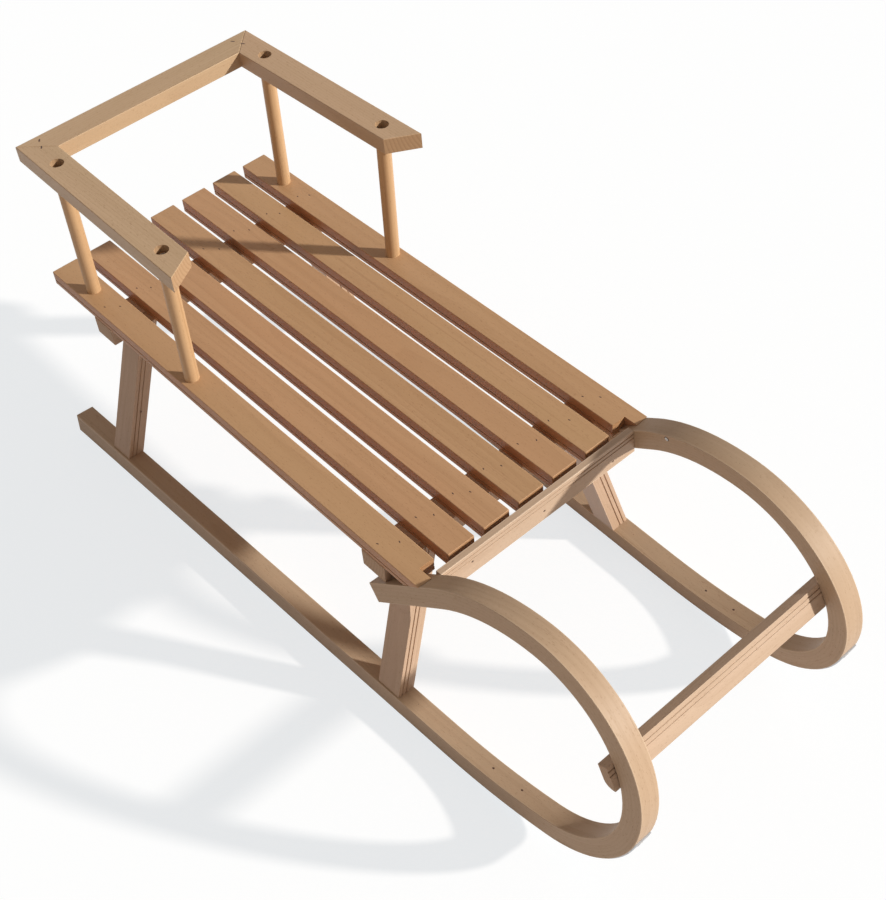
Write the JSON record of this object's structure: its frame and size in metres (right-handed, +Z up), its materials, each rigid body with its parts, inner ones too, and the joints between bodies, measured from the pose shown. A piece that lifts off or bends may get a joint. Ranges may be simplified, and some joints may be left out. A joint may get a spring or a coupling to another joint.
{
  "type": "wooden sled with horned runners",
  "caption": "Wooden sled: bent runners curled back as horns, slatted seat on splayed trestles, foot bar, and a fixed U-shaped backrest rail on round posts.",
  "frame": {"origin": "on the floor under the middle of the sled's length and width", "axes": "+X to the front, where the horns are; +Y to the sled's left; +Z up"},
  "size_m": [1.0322, 0.4242, 0.46],
  "materials": {
    "bent_wood": "satin",
    "frame_wood": "satin",
    "rail_wood": "satin",
    "post_wood": "satin",
    "slat_wood": "satin",
    "steel": "brushed"
  },
  "bodies": {
    "root": {"runner_right": "bent_wood", "runner_left": "bent_wood", "shoe_right": "steel", "shoe_left": "steel", "leg_front_right": "frame_wood", "leg_front_left": "frame_wood", "leg_rear_right": "frame_wood", "leg_rear_left": "frame_wood", "yoke_front": "frame_wood", "yoke_rear": "frame_wood", "crossbar_front": "frame_wood", "foot_bar": "frame_wood", "arm_right": "rail_wood", "arm_left": "rail_wood", "back_rail": "rail_wood", "post_front_right": "post_wood", "post_front_left": "post_wood", "post_rear_right": "post_wood", "post_rear_left": "post_wood", "slat_1": "slat_wood", "slat_2": "slat_wood", "slat_3": "slat_wood", "slat_4": "slat_wood", "slat_5": "slat_wood", "slat_6": "slat_wood", "slat_7": "slat_wood"}
  },
  "joints": []
}
